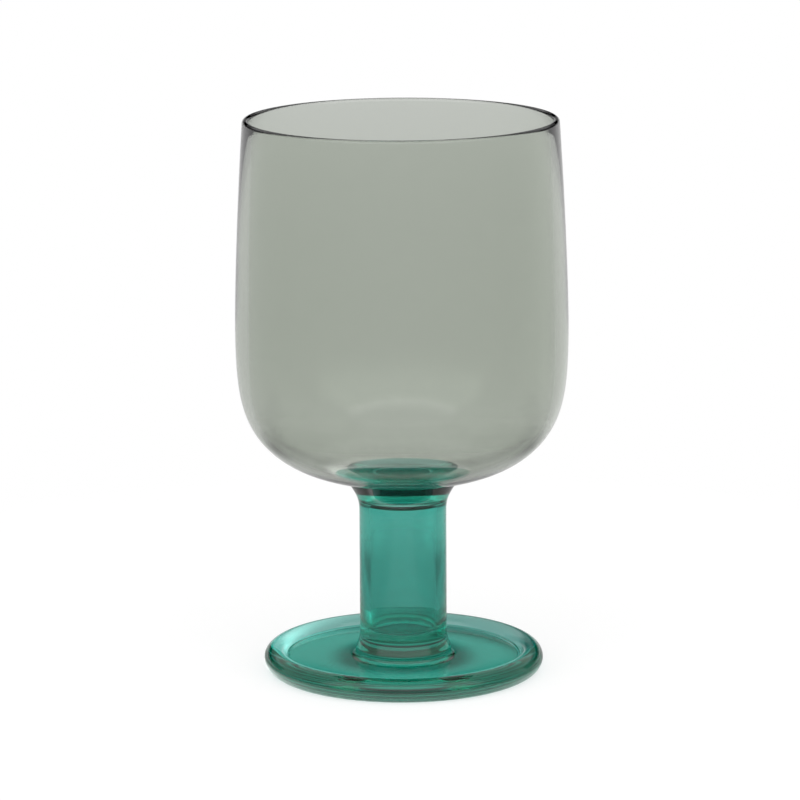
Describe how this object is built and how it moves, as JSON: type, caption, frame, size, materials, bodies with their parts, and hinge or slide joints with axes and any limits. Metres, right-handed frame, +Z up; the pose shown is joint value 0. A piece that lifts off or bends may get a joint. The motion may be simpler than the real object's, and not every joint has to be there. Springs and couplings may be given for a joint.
{
  "type": "wine glass",
  "caption": "Goblet with a deep straight-sided smoke-tinted bowl, a short thick hollow teal stem and a flat round foot with a raised bead edge.",
  "frame": {"origin": "centre of the foot's flat underside, where the glass stands on the table", "axes": "+Z up along the glass's axis of revolution, from foot to rim; X and Y are any two directions square to it, because the glass is round"},
  "size_m": [0.08, 0.08, 0.135],
  "materials": {
    "smoke_glass": "clear, faint grey-green smoke tint, fire polished",
    "teal_glass": "clear, blue-green tint, fire polished"
  },
  "bodies": {
    "root": {"bowl": "smoke_glass", "stem": "teal_glass", "foot": "teal_glass"}
  },
  "joints": []
}
